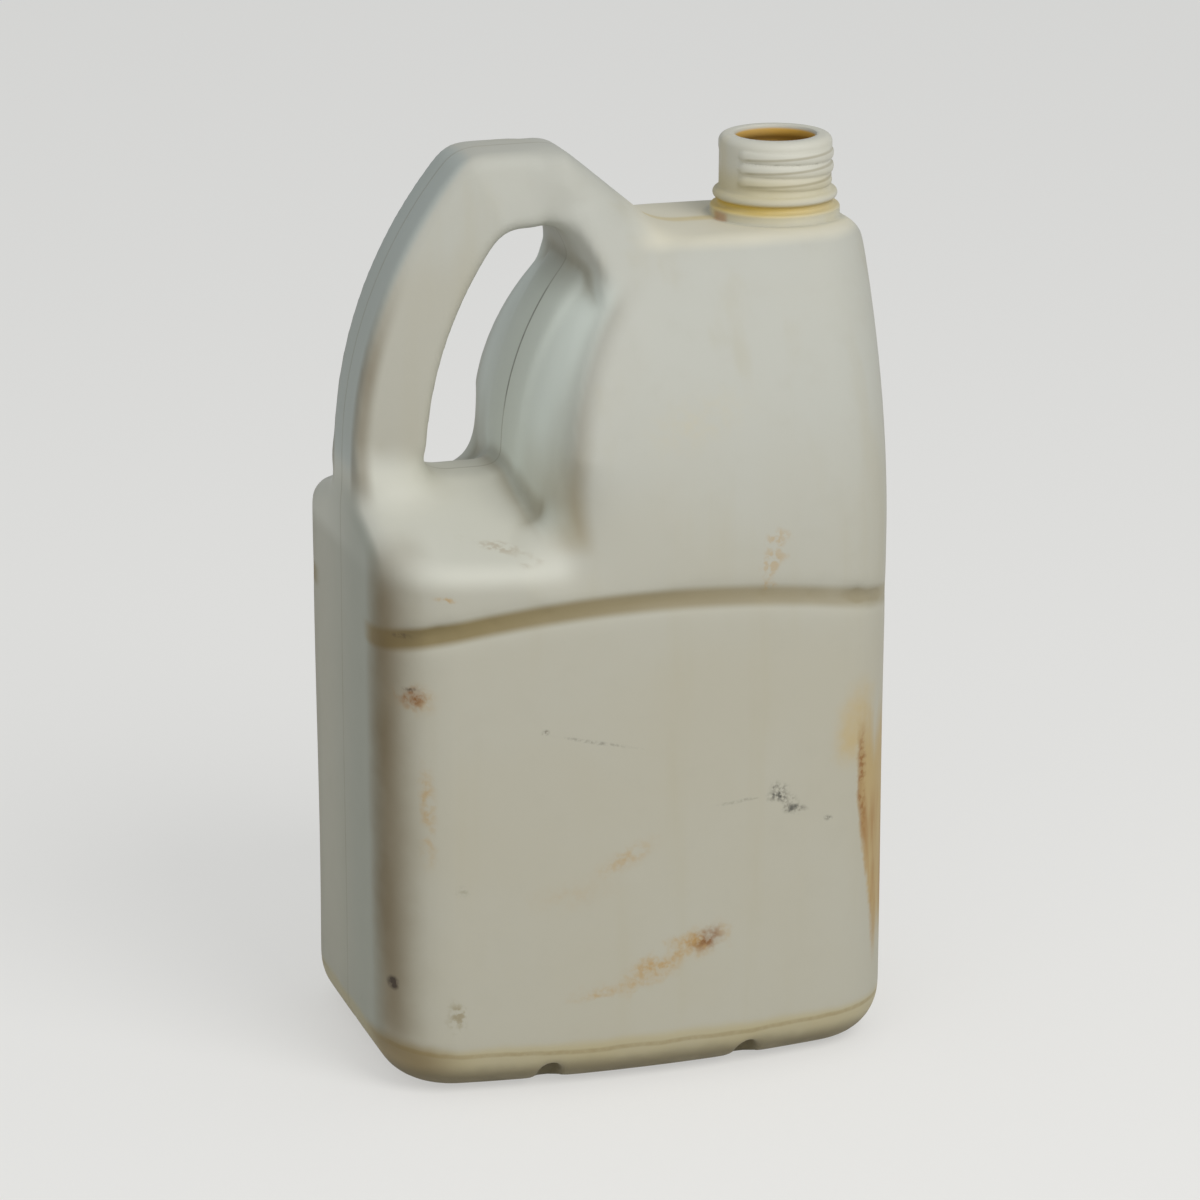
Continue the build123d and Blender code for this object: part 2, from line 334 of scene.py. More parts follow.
def body_blank():
    """Outside of the body as a closed mesh, with the neck taken off and its place filled."""
    work = cad_skin(outside=True)
    neck = []
    for face in work.faces:
        middle = face.calc_center_median()
        if neck_distance(middle) < FLANGE_RADIUS + 0.02 * MM and middle.z > SHOULDER_TOP - 10 * MM:
            neck.append(face)
    bmesh.ops.delete(work, geom=neck, context="FACES")
    bmesh.ops.holes_fill(work, edges=boundary_edges(work), sides=0)
    add_fuller_forms(work)
    bmesh.ops.triangulate(work, faces=[f for f in work.faces if len(f.verts) > 4])
    bmesh.ops.recalc_face_normals(work, faces=work.faces)
    return mesh_from(work, "body_blank")


def cavity():
    """Inside of the jug as a closed cutter that runs out through the mouth."""
    work = cad_skin(outside=False)
    for rise, growth in MOUTH_RINGS:
        raised = bmesh.ops.extrude_edge_only(work, edges=boundary_edges(work))["geom"]
        for vertex in raised:
            if isinstance(vertex, bmesh.types.BMVert):
                away = Vector((vertex.co.x - NECK_X, vertex.co.y, 0)).normalized()
                vertex.co += away * growth + Vector((0, 0, rise))
    bmesh.ops.holes_fill(work, edges=boundary_edges(work), sides=0)
    for height in GROOVE_CUTS:
        everything = work.verts[:] + work.edges[:] + work.faces[:]
        bmesh.ops.bisect_plane(work, geom=everything, plane_co=(0, 0, height * MM), plane_no=(0, 0, 1))
    bmesh.ops.recalc_face_normals(work, faces=work.faces)
    made = make_object("cavity", mesh_from(work, "cavity"))
    points = read_points(made.data)
    sink = groove_round_corners(points)
    write_points(made.data, tapered_grip(points - read_normals(made.data) * sink[:, None]))
    return made


def applied(made):
    """The object's mesh with its modifiers applied, and the object freed of them."""
    graph = bpy.context.evaluated_depsgraph_get()
    mesh = bpy.data.meshes.new_from_object(made.evaluated_get(graph))
    made.modifiers.clear()
    made.data = mesh
    return made


def remeshed(mesh, name):
    made = make_object(name, mesh)
    remesh = made.modifiers.new("skin", "REMESH")
    remesh.mode = "VOXEL"
    remesh.voxel_size = SKIN_STEP
    return applied(made)


def read_points(mesh):
    points = np.zeros(len(mesh.vertices) * 3)
    mesh.vertices.foreach_get("co", points)
    return points.reshape(-1, 3)


def read_normals(mesh):
    normals = np.zeros(len(mesh.vertices) * 3)
    mesh.vertex_normals.foreach_get("vector", normals)
    return normals.reshape(-1, 3)


def write_points(mesh, points):
    mesh.vertices.foreach_set("co", points.ravel())
    mesh.update()


def read_edges(mesh):
    edges = np.zeros(len(mesh.edges) * 2, int)
    mesh.edges.foreach_get("vertices", edges)
    return edges.reshape(-1, 2)


def relaxed(points, edges, weight, rounds):
    """Points moved towards the mean of their neighbours, by a weight for each point."""
    count = len(points)
    ends = np.concatenate([edges[:, 0], edges[:, 1]])
    others = np.concatenate([edges[:, 1], edges[:, 0]])
    share = 1.0 / np.maximum(np.bincount(ends, minlength=count), 1)
    points = points.copy()
    for _ in range(rounds):
        for axis in range(points.shape[1]):
            mean = np.bincount(ends, weights=points[others, axis], minlength=count) * share
            points[:, axis] += 0.5 * weight * (mean - points[:, axis])
    return points


def smooth_step(low, high, value):
    t = np.clip((value - low) / (high - low), 0, 1)
    return t * t * (3 - 2 * t)


def panel_waves(points):
    """Slow waves that cooling leaves in the flat panels, in metres."""
    x, y, z = (points / MM).T
    wave = np.sin(x / 31 + z / 47) + np.sin(z / 23 - x / 61 + 1.3) + np.sin(y / 19 + z / 39 + 0.6)
    return PANEL_WAVE * wave / 3 * smooth_step(1, 12, z)


def groove_height(x):
    return GROOVE_MIDDLE - GROOVE_RISE * (x / GROOVE_REACH) ** 2


def groove_round_corners(points):
    """How much deeper the arched groove has to be round the upright corners, in metres."""
    x, y, z = (points / MM).T
    past = np.clip(np.abs(x) - CORNER_START, 0, CORNER_RADIUS)
    present = np.maximum(GROOVE_DEPTH - CORNER_RADIUS + np.sqrt(CORNER_RADIUS**2 - past**2), 0)
    wanted = GROOVE_DEPTH * smooth_step(GROOVE_END, GROOVE_END - 6, np.abs(x))
    section = np.exp(-(((z - groove_height(x)) / 3.2) ** 2))
    return MM * np.maximum(wanted - present, 0) * section * smooth_step(12, 30, np.abs(y))


def hollow_depth(mesh, rounds):
    """How far each point lies in a hollow, in millimetres: below zero on an outward bend."""
    points = read_points(mesh)
    eased = relaxed(points, read_edges(mesh), np.ones(len(points)), rounds)
    return np.einsum("ij,ij->i", eased - points, read_normals(mesh)) / MM


def softening(mesh):
    """Weight for each point: inward creases of the pocket and of the leg's foot are blended most."""
    points = read_points(mesh)
    x, y, z = (points / MM).T
    pocket = smooth_step(164, 174, z) * smooth_step(240, 222, z) * smooth_step(6, -4, x)
    sharp = smooth_step(46, 32, np.abs(y)) * smooth_step(-54, -46, x)
    leg_foot = smooth_step(250, 258, z) * smooth_step(-4, 4, x) * smooth_step(44, 34, x)
    region = np.maximum(pocket * (1 - 0.9 * sharp), leg_foot)
    crease = smooth_step(0.02, 0.3, hollow_depth(mesh, 14)) * region
    crease = relaxed(crease[:, None], read_edges(mesh), np.ones(len(points)), 14)[:, 0]
    groove = np.exp(-(((z - groove_height(x)) / 6) ** 2)) * smooth_step(12, 30, np.abs(y))
    return 0.06 + 0.94 * np.clip(np.maximum(2.2 * crease, 0.16 * groove), 0, 1)


def tapered_grip(points):
    """Points with the sides of the grip drawn in towards its outer face."""
    x, y, z = (points / MM).T
    reach = np.hypot(x - HANDLE_CENTRE[0], z - HANDLE_CENTRE[1])
    depth = np.minimum(GRIP_OUTSIDE - reach, HANDLE_TOP - z)
    grip = smooth_step(190, 206, z) * smooth_step(-12, -28, x)
    share = np.clip(1 - depth / GRIP_TAPER_LENGTH, 0, 1) * grip
    drawn = points.copy()
    drawn[:, 1] *= 1 - GRIP_TAPER * share
    return drawn


def slot_foot(points):
    """Weight for each point: 1 where the slot's back wall runs out over the pocket's front rim."""
    x, y, z = (points / MM).T
    across = smooth_step(-42, -32, x) * smooth_step(6, -4, x)
    return across * smooth_step(36, 50, np.abs(y)) * smooth_step(164, 172, z) * smooth_step(206, 192, z)


def body_skin():
    """Moulded outside of the body: creases blended, panels a little wavy."""
    made = remeshed(body_blank(), "jug_body")
    mesh = made.data
    points = relaxed(read_points(mesh), read_edges(mesh), softening(mesh), SOFTENING)
    points = relaxed(points, read_edges(mesh), slot_foot(points), 3 * SOFTENING)
    points = tapered_grip(points)
    write_points(mesh, points)
    lift = panel_waves(points) - groove_round_corners(points)
    write_points(mesh, points + read_normals(mesh) * lift[:, None])
    return made


def arc_points(centre, radius, start, end, count):
    points = []
    for step in range(count + 1):
        angle = radians(start + (end - start) * step / count)
        points.append((centre[0] + radius * cos(angle), centre[1] + radius * sin(angle)))
    return points


def neck_profile():
    """Radius and height, in millimetres, from inside the shoulder up over the lip."""
    profile = [(0, 258), (20.5, 258), (20.75, 264.5)]
    profile += arc_points((19.75, 268.9), 1.0, -5, 80, 5)
    profile += [(18.85, 270.2), (18.55, 270.7), (18.5, 271.6)]
    profile += arc_points((18.3, 273.5), 1.6, -78, 75, 9)
    profile += [(18.1, 275.4), (17.95, 276.4), (17.9, 286.8), (18.1, 288.2)]
    profile += arc_points((15.6, 289.9), 2.5, 0, 90, 9)
    profile += [(14.4, 292.4), (0, 292.4)]
    return profile


def neck_blank():
    """Neck turned from its profile, solid for now."""
    work = bmesh.new()
    line = [work.verts.new((r * MM, 0, z * MM)) for r, z in neck_profile()]
    edges = [work.edges.new(pair) for pair in zip(line, line[1:])]
    turned = {"cent": (0, 0, 0), "axis": (0, 0, 1), "angle": 2 * pi, "steps": NECK_STEPS}
    bmesh.ops.spin(work, geom=line + edges, use_duplicate=False, **turned)
    bmesh.ops.remove_doubles(work, verts=work.verts, dist=0.01 * MM)
    bmesh.ops.translate(work, verts=work.verts, vec=(NECK_X, 0, 0))
    bmesh.ops.recalc_face_normals(work, faces=work.faces)
    return make_object("neck_blank", mesh_from(work, "neck_blank"))


class Field:
    """A socket of a node tree. Arithmetic on fields adds Math nodes, and node() adds any other node."""

    def __init__(self, tree, socket=None):
        self.tree = tree
        self.socket = socket

    def node(self, kind, settings=None, inputs=None, output=0):
        """Adds a node, makes its settings, then fills or links its sockets, and gives one output."""
        made = self.tree.nodes.new(kind)
        for name, value in (settings or {}).items():
            setattr(made, name, value)
        for key, value in (inputs or {}).items():
            if isinstance(value, Field):
                self.tree.links.new(value.socket, made.inputs[key])
            else:
                made.inputs[key].default_value = value
        return Field(self.tree, made.outputs[output] if made.outputs else None)

    def math(self, operation, *values):
        return self.node("ShaderNodeMath", {"operation": operation}, dict(enumerate(values)))

    def __add__(self, other):
        return self.math("ADD", self, other)

    def __radd__(self, other):
        return self.math("ADD", other, self)

    def __sub__(self, other):
        return self.math("SUBTRACT", self, other)

    def __rsub__(self, other):
        return self.math("SUBTRACT", other, self)

    def __mul__(self, other):
        return self.math("MULTIPLY", self, other)

    def __rmul__(self, other):
        return self.math("MULTIPLY", other, self)

    def __truediv__(self, other):
        return self.math("DIVIDE", self, other)

    def __rtruediv__(self, other):
        return self.math("DIVIDE", other, self)

    def __pow__(self, other):
        return self.math("POWER", self, other)

    def __abs__(self):
        return self.math("ABSOLUTE", self)

    def step(self, low, high):
        """0 at low and 1 at high, eased at both ends. low may be the larger."""
        ends = {"From Min": low, "From Max": high, "To Min": 0.0, "To Max": 1.0, "Value": self}
        return self.node("ShaderNodeMapRange", {"interpolation_type": "SMOOTHSTEP"}, ends)

    def band(self, start, full, fade, end):
        """1 from full to fade, easing to 0 at the start and at the end."""
        return self.step(start, full) * self.step(end, fade)

    def shaken(self, pattern, size):
        """The field moved to and fro by a pattern, so that its steps get a ragged edge."""
        return self + (pattern - 0.5) * size

    def length(self, other):
        """Length of the line whose two sides are this field and another."""
        return (self**2.0 + other**2.0) ** 0.5


def thread_tree(material, sizes):
    """Node tree that winds the screw thread's low ridge, broken where the two mould halves met."""
    tree = bpy.data.node_groups.new("neck_thread", "GeometryNodeTree")
    for name in sizes:
        tree.interface.new_socket(name, in_out="INPUT", socket_type="NodeSocketFloat")
    tree.interface.new_socket("Geometry", in_out="OUTPUT", socket_type="NodeSocketGeometry")
    start = Field(tree)
    entry = tree.nodes.new("NodeGroupInput")
    root, pitch, turns, ridge, breadth, height = (Field(tree, entry.outputs[name]) for name in sizes)
    centre = root - THREAD_SINK
    spiral = {"Resolution": 96, "Rotations": turns, "Start Radius": centre, "End Radius": centre}
    spiral["Height"] = pitch * turns
    path = start.node("GeometryNodeCurveSpiral", None, spiral)
    path = start.node("GeometryNodeSetCurveNormal", {"mode": "Z_UP"}, {"Curve": path})
    position = start.node("GeometryNodeInputPosition")
    across = start.node("ShaderNodeSeparateXYZ", None, {0: position}) / centre
    along = start.node("GeometryNodeSplineParameter", None, None, "Factor")
    lead = along.step(0.0, 0.06) * along.step(1.0, 0.94)
    broken = across.step(-0.9, -0.8) * across.step(0.985, 0.95)
    swell = ridge * (0.2 + 0.8 * lead * broken)
    section = start.node("GeometryNodeCurvePrimitiveCircle", None, {"Resolution": 14, "Radius": 1.0})
    shape = start.node("ShaderNodeCombineXYZ", None, {0: 1.0, 1: breadth, 2: 1.0})
    section = start.node("GeometryNodeTransform", None, {"Geometry": section, "Scale": shape})
    sweep = {"Curve": path, "Profile Curve": section, "Scale": swell, "Fill Caps": True}
    tube = start.node("GeometryNodeCurveToMesh", None, sweep)
    place = start.node("ShaderNodeCombineXYZ", None, {0: NECK_X, 1: 0.0, 2: height})
    tube = start.node("GeometryNodeTransform", None, {"Geometry": tube, "Translation": place})
    tube = start.node("GeometryNodeRealizeInstances", None, {"Geometry": tube})
    tube = start.node("GeometryNodeSetMaterial", None, {"Geometry": tube, "Material": material})
    start.node("NodeGroupOutput", None, {"Geometry": tube})
    return tree


def neck_thread(material):
    """Ridge of the screw thread as a closed mesh."""
    sizes = {
        "Root Radius": THREAD_ROOT,
        "Pitch": THREAD_PITCH,
        "Turns": THREAD_TURNS,
        "Ridge": THREAD_RIDGE,
        "Breadth": THREAD_BREADTH,
        "Start Height": THREAD_START,
    }
    made = make_object("neck_thread", bpy.data.meshes.new("neck_thread"))
    thread = made.modifiers.new("thread", "NODES")
    thread.node_group = thread_tree(material, sizes)
    for entry in thread.node_group.interface.items_tree:
        if entry.in_out == "INPUT":
            thread[entry.identifier] = sizes[entry.name]
    return applied(made)


def joined(base, tool, operation):
    """Base with a tool added or taken away. The tool object is used up."""
    change = base.modifiers.new(operation, "BOOLEAN")
    change.operation = operation
    change.object = tool
    change.solver = "MANIFOLD"
    applied(base)
    bpy.data.objects.remove(tool)
    return base


def without_slivers(made):
    """Dissolves the faces without area that the cuts leave at the lip."""
    work = bmesh.new()
    work.from_mesh(made.data)
    bmesh.ops.dissolve_degenerate(work, edges=work.edges, dist=WELD)
    bmesh.ops.triangulate(work, faces=work.faces)
    work.to_mesh(made.data)
    work.free()
    return made


def add_hollow_layer(made, body_points, body_hollow):
    """Copies the hollow depth of the bare body to the finished mesh, by nearest point."""
    tree = kdtree.KDTree(len(body_points))
    for index, point in enumerate(body_points):
        tree.insert(point, index)
    tree.balance()
    layer = made.data.attributes.new("hollow", "FLOAT", "POINT")
    values = []
    for point in read_points(made.data):
        _, index, gap = tree.find(point)
        values.append(body_hollow[index] if gap < HOLLOW_REACH else 0.0)
    layer.data.foreach_set("value", np.array(values, dtype=np.float32))


def build_jug(material):
    """The whole jug as one closed skin with its wall thickness, neck, thread and cavity."""
    made = body_skin()
    body_points = read_points(made.data)
    body_hollow = hollow_depth(made.data, 16)
    neck = joined(neck_blank(), neck_thread(material), "UNION")
    made = joined(made, neck, "UNION")
    made = without_slivers(joined(made, cavity(), "DIFFERENCE"))
    made.name = "jug_skin"
    made.data.materials.clear()
    made.data.materials.append(material)
    made.data.shade_smooth()
    made.data.set_sharp_from_angle(angle=radians(SHARP_ANGLE))
    add_hollow_layer(made, body_points, body_hollow)
    return made


def linear(red, green, blue):
    """A colour as it looks on screen, in 0 to 255, made linear for a shader."""
    parts = []
    for value in (red, green, blue):
        share = value / 255
        parts.append(share / 12.92 if share <= 0.04045 else ((share + 0.055) / 1.055) ** 2.4)
    return (*parts, 1.0)


class Surface:
    """Places and patterns that the jug's material is painted with, in millimetres."""

    def __init__(self, tree):
        self.start = Field(tree)
        place = self.start.node("ShaderNodeTexCoord", None, None, "Object")
        scale = {0: place, "Scale": 1 / MM}
        self.place = self.start.node("ShaderNodeVectorMath", {"operation": "SCALE"}, scale)
        self.x, self.y, self.z = (
            self.start.node("ShaderNodeSeparateXYZ", None, {0: self.place}, axis) for axis in range(3)
        )
        self.hollow = self.start.node("ShaderNodeAttribute", {"attribute_name": "hollow"}, None, "Fac")
        self.cloud = self.noise(70, 4.0)
        self.blur = self.noise(26, 3.0, shift=5)
        self.ragged = self.noise(7, 4.0, shift=9)
        self.fine = self.noise(9, 4.0, shift=7)
        self.grain = self.noise(2.2, 3.0, shift=3)
        self.speck = self.noise(1.1, 2.0, shift=13)
        self.streaks = self.noise(13, 3.0, (1, 1, 0.1), 3)
        self.flow = self.noise(5, 3.0, (1, 1, 0.12), 17)
        self.near = self.y.step(-8, -24)
        self.handle_reach = (self.x - HANDLE_CENTRE[0]).length(self.z - HANDLE_CENTRE[1])
        self.neck_gap = (self.x - NECK_X / MM).length(self.y)

    def noise(self, size, detail=3.0, stretch=(1, 1, 1), shift=0.0):
        """Soft noise from 0 to 1, with lumps of about that size."""
        scale = tuple(part / size for part in stretch)
        spot = {"Vector": self.place, "Location": (shift, shift, shift), "Scale": scale}
        spot = self.start.node("ShaderNodeMapping", None, spot)
        noise = {"Vector": spot, "Scale": 1.0, "Detail": detail}
        return self.start.node("ShaderNodeTexNoise", None, noise)

    def mix(self, share, first, second):
        inputs = {0: share, 6: first, 7: second}
        settings = {"data_type": "RGBA", "clamp_factor": True}
        return self.start.node("ShaderNodeMix", settings, inputs, 2)

    def tint(self, colour, share, tone):
        """A colour mixed with a share of a tone, which is given as it looks on screen."""
        return self.mix(share, colour, linear(*tone))

    def spot(self, x, z, half_width, half_height, turn, ragged):
        """1 in the middle of a patch of the near side, falling to 0 at its ragged edge."""
        c, s = cos(radians(turn)), sin(radians(turn))
        across, up = self.x - x, self.z - z
        along = (across * c + up * s) / half_width
        beside = (up * c - across * s) / half_height
        return along.length(beside).shaken(self.ragged, 2 * ragged).step(1.0, 0.1) * self.near

    def groove_line(self):
        """Height above the middle of the arched groove."""
        share = self.x / GROOVE_REACH
        return self.z - (GROOVE_MIDDLE - GROOVE_RISE * share * share)


def worn_plastic(paint):
    """Chalky plastic, faintly streaked and mottled; paler above, partly a cooler tone and partly painted
    light on the faces that lean back towards the light.
    """
    # partly painted light: the body is painted paler towards the shoulder, whose faces lean back to the
    # light
    share = paint.z.step(125, 225) * 0.85 + 0.08
    share = share.shaken(paint.cloud, 0.8).shaken(paint.blur, 0.35)
    colour = paint.mix(share, linear(*CHALK_BELOW), linear(*CHALK_ABOVE_LIT))
    colour = paint.tint(colour, paint.streaks.step(0.5, 0.8) * 0.25, STREAK)
    return paint.tint(colour, paint.fine.step(0.5, 0.8) * 0.12, MOTTLE)


def tint_handle_end(paint, colour):
    """Painted light on the pocket floor and on the slot's back wall, a warmer grip, and painted shade on
    the grip's outer face and on the end below the handle.
    """
    x, z, reach = paint.x, paint.z, paint.handle_reach
    # painted light: the pocket floor, facing up to the light, is painted brighter
    floor = x.step(-22, -32) * z.band(166, 173, 194, 206)
    colour = paint.tint(colour, floor * 0.9, POCKET_FLOOR_LIT)
    # painted light: the slot's back wall is painted bright, standing in for light let through and
    # bounced by the plastic
    lit_slot_wall = reach.band(86.5, 90.5, 96, 98) * z.band(178, 188, 244, 262) * x.step(0, -8)
    colour = paint.tint(colour, lit_slot_wall * 0.95, SLOT_WALL_LIT)
    grip = reach.step(112, 120) * z.band(196, 208, 252, 272) * x.step(-14, -34)
    colour = paint.tint(colour, grip * 0.6, GRIP_SIDE)
    # painted shade: the grip's outer face, turned away from the light, is painted a darker cool grey
    back = reach.step(144.5, 146.8) * z.step(190, 200) * x.step(-30, -44)
    colour = paint.tint(colour, back * 0.7, GRIP_BACK_SHADE)
    # painted shade: the end face below the handle, turned away from the light, is painted darker
    end = x.step(-82, -84.5) * z.step(200, 186) * (0.25 + 0.5 * paint.y.step(24, -24))
    return paint.tint(colour, end, BODY_END_SHADE)


def add_hollow_dirt_and_shade(paint, colour):
    """Dirt and painted shade in creases and in the arched groove."""
    # partly dirt, partly painted shade: darker where the hollow attribute shows an inward crease
    crease = paint.hollow.step(0.03, 0.55) * (0.55 + 0.5 * paint.fine) * paint.z.step(8, 16)
    colour = paint.tint(colour, crease * 0.45, CREASE_DIRT_AND_SHADE)
    # painted shade: the deepest creases above the groove are painted dark
    deep_shade = paint.hollow.step(0.3, 0.9) * paint.z.step(160, 170)
    colour = paint.tint(colour, deep_shade * 0.4, DEEP_CREASE_SHADE)
    # partly dirt, partly painted shade: the groove under the upper body's lip is painted darker, more so
    # towards the left end
    groove = paint.groove_line().band(-5.0, -2.0, 1.2, 4.4) * abs(paint.y).step(25, 40)
    return paint.tint(colour, groove * (0.78 - paint.x / 260), GROOVE_DIRT_AND_SHADE)


def add_base_dirt_and_shade(paint, colour):
    """Straw-coloured base with a brown corner, painted shade along the underside and a line above it."""
    x, y, z = paint.x, paint.y, paint.z
    bottom = z.shaken(paint.blur, 5).step(18.5, 14.5)
    colour = paint.tint(colour, bottom * (0.28 + 0.36 * paint.blur), BASE)
    corner = z.shaken(paint.blur, 4).step(20, 14) * x.shaken(paint.blur, 12).step(-56, -79)
    colour = paint.tint(colour, corner * y.step(-12, -40) * 0.7, BASE_CORNER)
    # painted shade: the bottom edge, where it turns under towards the floor, is painted dark
    under = z.shaken(paint.fine, 4).step(12, 5) * (0.55 + 0.4 * paint.fine)
    colour = paint.tint(colour, under, UNDERSIDE_SHADE)
    line = (z.shaken(paint.blur, 3) - BASE_LINE_HEIGHT - (x / 80) ** 2.0 * 2.0) / 1.1
    line = (line * line).step(1.0, 0.0) * (0.25 + paint.grain) * abs(y).step(20, 36)
    return paint.tint(colour, line * 0.45, BASE_LINE)


def add_edge_dirt_and_shade(paint, colour):
    """Brown dirt on the upright edge below the handle and along the grip, and dirt with painted shade
    round the finger slot.
    """
    x, z, reach = paint.x, paint.z, paint.handle_reach
    side = abs(paint.y)
    across = side.shaken(paint.ragged, 1.5).shaken(paint.blur, 5)
    edge = across.band(28, 43, 43, 57) * x.step(-66, -76) * z.band(8, 24, 160, 190)
    edge = edge * (0.4 + 0.6 * paint.y.step(20, -20)) * (0.5 + 0.55 * paint.blur)
    colour = paint.tint(colour, edge, UPRIGHT_EDGE)
    # partly dirt, partly painted shade: the rim where the slot's wall turns into the front
    rim_dirt_and_shade = reach.band(81, 87, 89, 94) * side.step(28, 42) * z.band(174, 186, 250, 266)
    rim_dirt_and_shade = rim_dirt_and_shade * (0.35 + 0.65 * z.step(236, 205))
    colour = paint.tint(colour, rim_dirt_and_shade * (0.1 + 0.32 * paint.blur), SLOT_RIM_DIRT_AND_SHADE)
    # partly painted shade, partly dirt: the valley where the slot's back wall runs out over the pocket's
    # front rim
    foot_shade_and_dirt = x.step(-36, -26) * reach.step(82, 88) * z.band(174, 183, 190, 214) * side.step(15, 26)
    colour = paint.tint(colour, foot_shade_and_dirt * (0.2 + 0.4 * paint.blur), SLOT_FOOT_SHADE_AND_DIRT)
    grip = reach.step(140.5, 144.5) * side.step(8.5, 12) * z.band(184, 196, 226, 262) * x.step(-50, -60)
    return paint.tint(colour, grip * (0.3 + 0.5 * paint.blur), GRIP_DIRT)


def add_parting_line(paint, colour, seam):
    """Line where the mould halves met: faint on the ends, dirty on top, split behind the slot; and the
    shoulder's top paler, partly a cream tone and partly painted light.
    """
    x, y, z = paint.x, paint.y, paint.z
    bare = paint.neck_gap.step(21.5, 24)
    colour = paint.tint(colour, seam * bare * (0.15 + 0.4 * paint.fine), SEAM)
    # partly a cream tone, partly painted light: the top of the shoulder, facing up to the light, is
    # painted paler
    top = x.shaken(paint.blur, 12).step(0, 14) * z.shaken(paint.blur, 3).step(262, 266.4)
    colour = paint.tint(colour, top * bare * 0.75, SHOULDER_CREAM_LIT)
    shoulder = abs(y + 1).step(4.5, 1.0) * x.band(8, 16, 38, 46) * z.step(258, 263)
    colour = paint.tint(colour, shoulder * (0.35 + 0.4 * paint.fine), SHOULDER_LINE)
    split = abs(y).step(0.9, 0.3) * x.band(-34, -32, -12, -8) * z.band(206, 214, 244, 252)
    return paint.tint(colour, split * (0.2 + 0.6 * paint.grain), SPLIT)


def stain_and_light_neck(paint, colour):
    """Old yellow residue round the neck's waist, rust at the flange, amber residue inside the mouth
    painted brighter as painted light, and dirt with painted shade between the thread's turns.
    """
    x, y, z, gap = paint.x, paint.y, paint.z, paint.neck_gap
    ring = gap.step(23, 20.5)
    colour = paint.tint(colour, ring * z.step(271, 274) * 0.55, NECK_PALE)
    stain = ring * z.band(266, 268, 276, 286) * (0.15 + 0.4 * paint.blur) * x.step(80, 44)
    colour = paint.tint(colour, stain, NECK_STAIN)
    waist = ring * z.band(268.5, 270.2, 271.6, 273.2)
    colour = paint.tint(colour, waist * (0.8 - (x - 59) / 60), NECK_WAIST)
    flange = gap.step(26, 20) * z.band(263, 266, 270, 271.5)
    colour = paint.tint(colour, flange * (0.1 + 0.45 * paint.fine), FLANGE)
    above = ring * z.band(273, 275, 277, 284)
    colour = paint.tint(colour, above * (0.2 + 0.4 * paint.fine), ABOVE_BEAD)
    corner = ((x - 40.0) / 3.0) ** 2.0 + ((y + 4.5) / 5.0) ** 2.0
    corner = corner.step(1.0, 0.1) * z.band(262, 264.5, 268, 270)
    colour = paint.tint(colour, corner * (0.35 + 0.5 * paint.ragged), FLANGE_RUST)
    # amber residue with painted light: the inside of the mouth is painted bright where little lamp light
    # reaches
    inside = gap.band(12.2, 12.6, 16.3, 16.9) * z.band(200, 240, 290.8, 291.8)
    colour = paint.tint(colour, inside * (0.7 + 0.5 * paint.blur), MOUTH_AMBER_LIT)
    # partly dirt, partly painted shade: dark lines in the valleys under each turn of the thread
    return paint.tint(colour, thread_valley(paint) * ring * (0.3 + 0.3 * paint.fine), THREAD_DIRT_AND_SHADE)


def thread_valley(paint):
    """1 between the turns of the screw thread, on the side where its ridge is whole."""
    across = paint.x - NECK_X / MM
    turn = paint.start.math("ARCTAN2", paint.y, across) / (2 * pi)
    phase = paint.start.math("FRACT", (paint.z - THREAD_START / MM) / (THREAD_PITCH / MM) - turn)
    valley = abs(phase - 0.52).step(0.16, 0.03) * paint.neck_gap.step(17.2, 17.6)
    return valley * paint.z.band(276, 279, 287.5, 289) * across.step(-15.5, -13)


